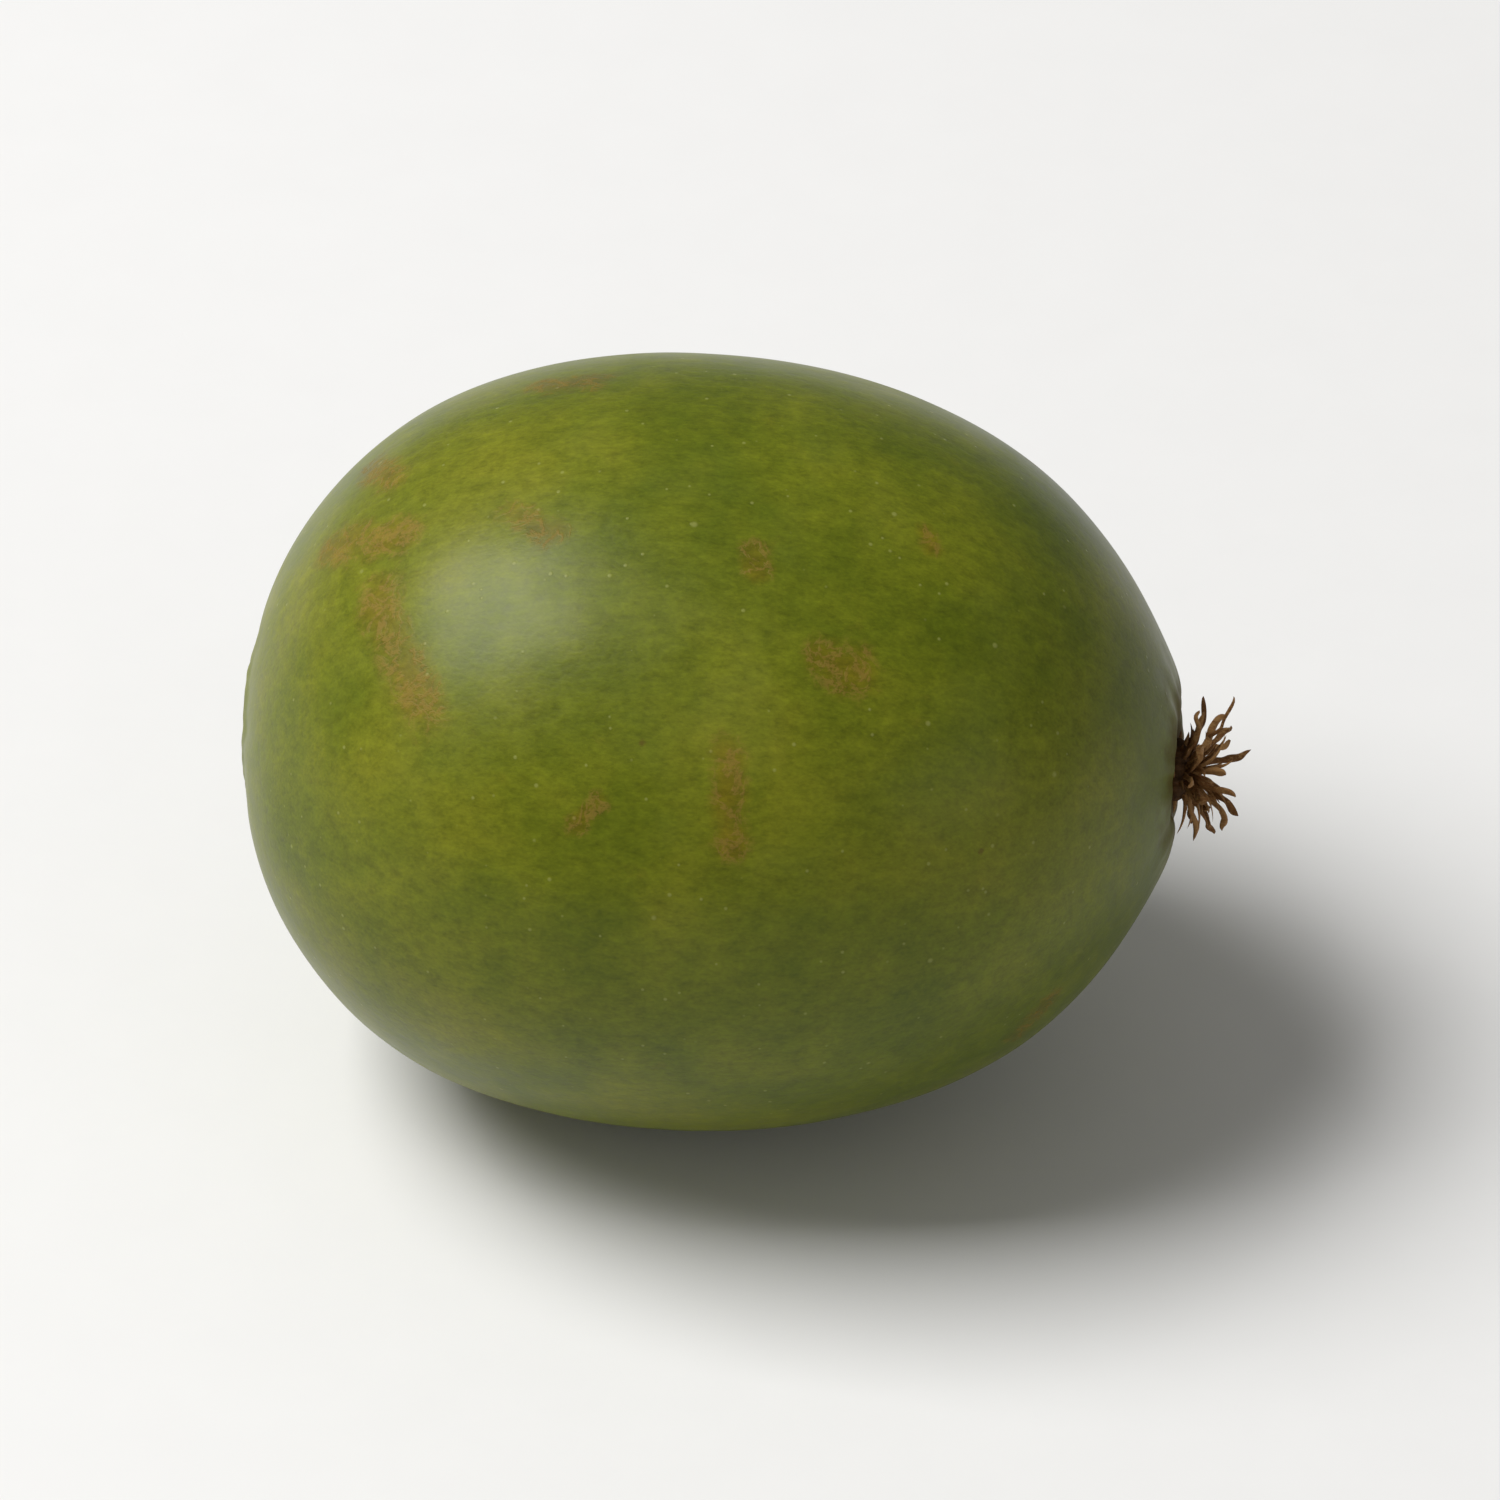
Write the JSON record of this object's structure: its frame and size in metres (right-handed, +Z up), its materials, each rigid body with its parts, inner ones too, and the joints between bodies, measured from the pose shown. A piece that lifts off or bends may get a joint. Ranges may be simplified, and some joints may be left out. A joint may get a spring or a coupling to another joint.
{
  "type": "kiwi berry",
  "caption": "Smooth green hardy kiwi fruit lying on its side, with a round stalk scar at one end and a tuft of dried styles at the other.",
  "frame": {"origin": "on the surface the fruit lies on, under the middle of its length and width", "axes": "+X along the fruit from its stalk scar to its tuft of styles, +Z up from the resting spot, +Y across the fruit"},
  "size_m": [0.0308, 0.0244, 0.0229],
  "materials": {
    "skin": "smooth hairless fruit skin with a satin, slightly waxy sheen, mottled olive to yellow green",
    "styles": "dry, dull, warm brown plant fibre"
  },
  "bodies": {
    "root": {"berry": "skin", "style_tuft": "styles"}
  },
  "joints": []
}
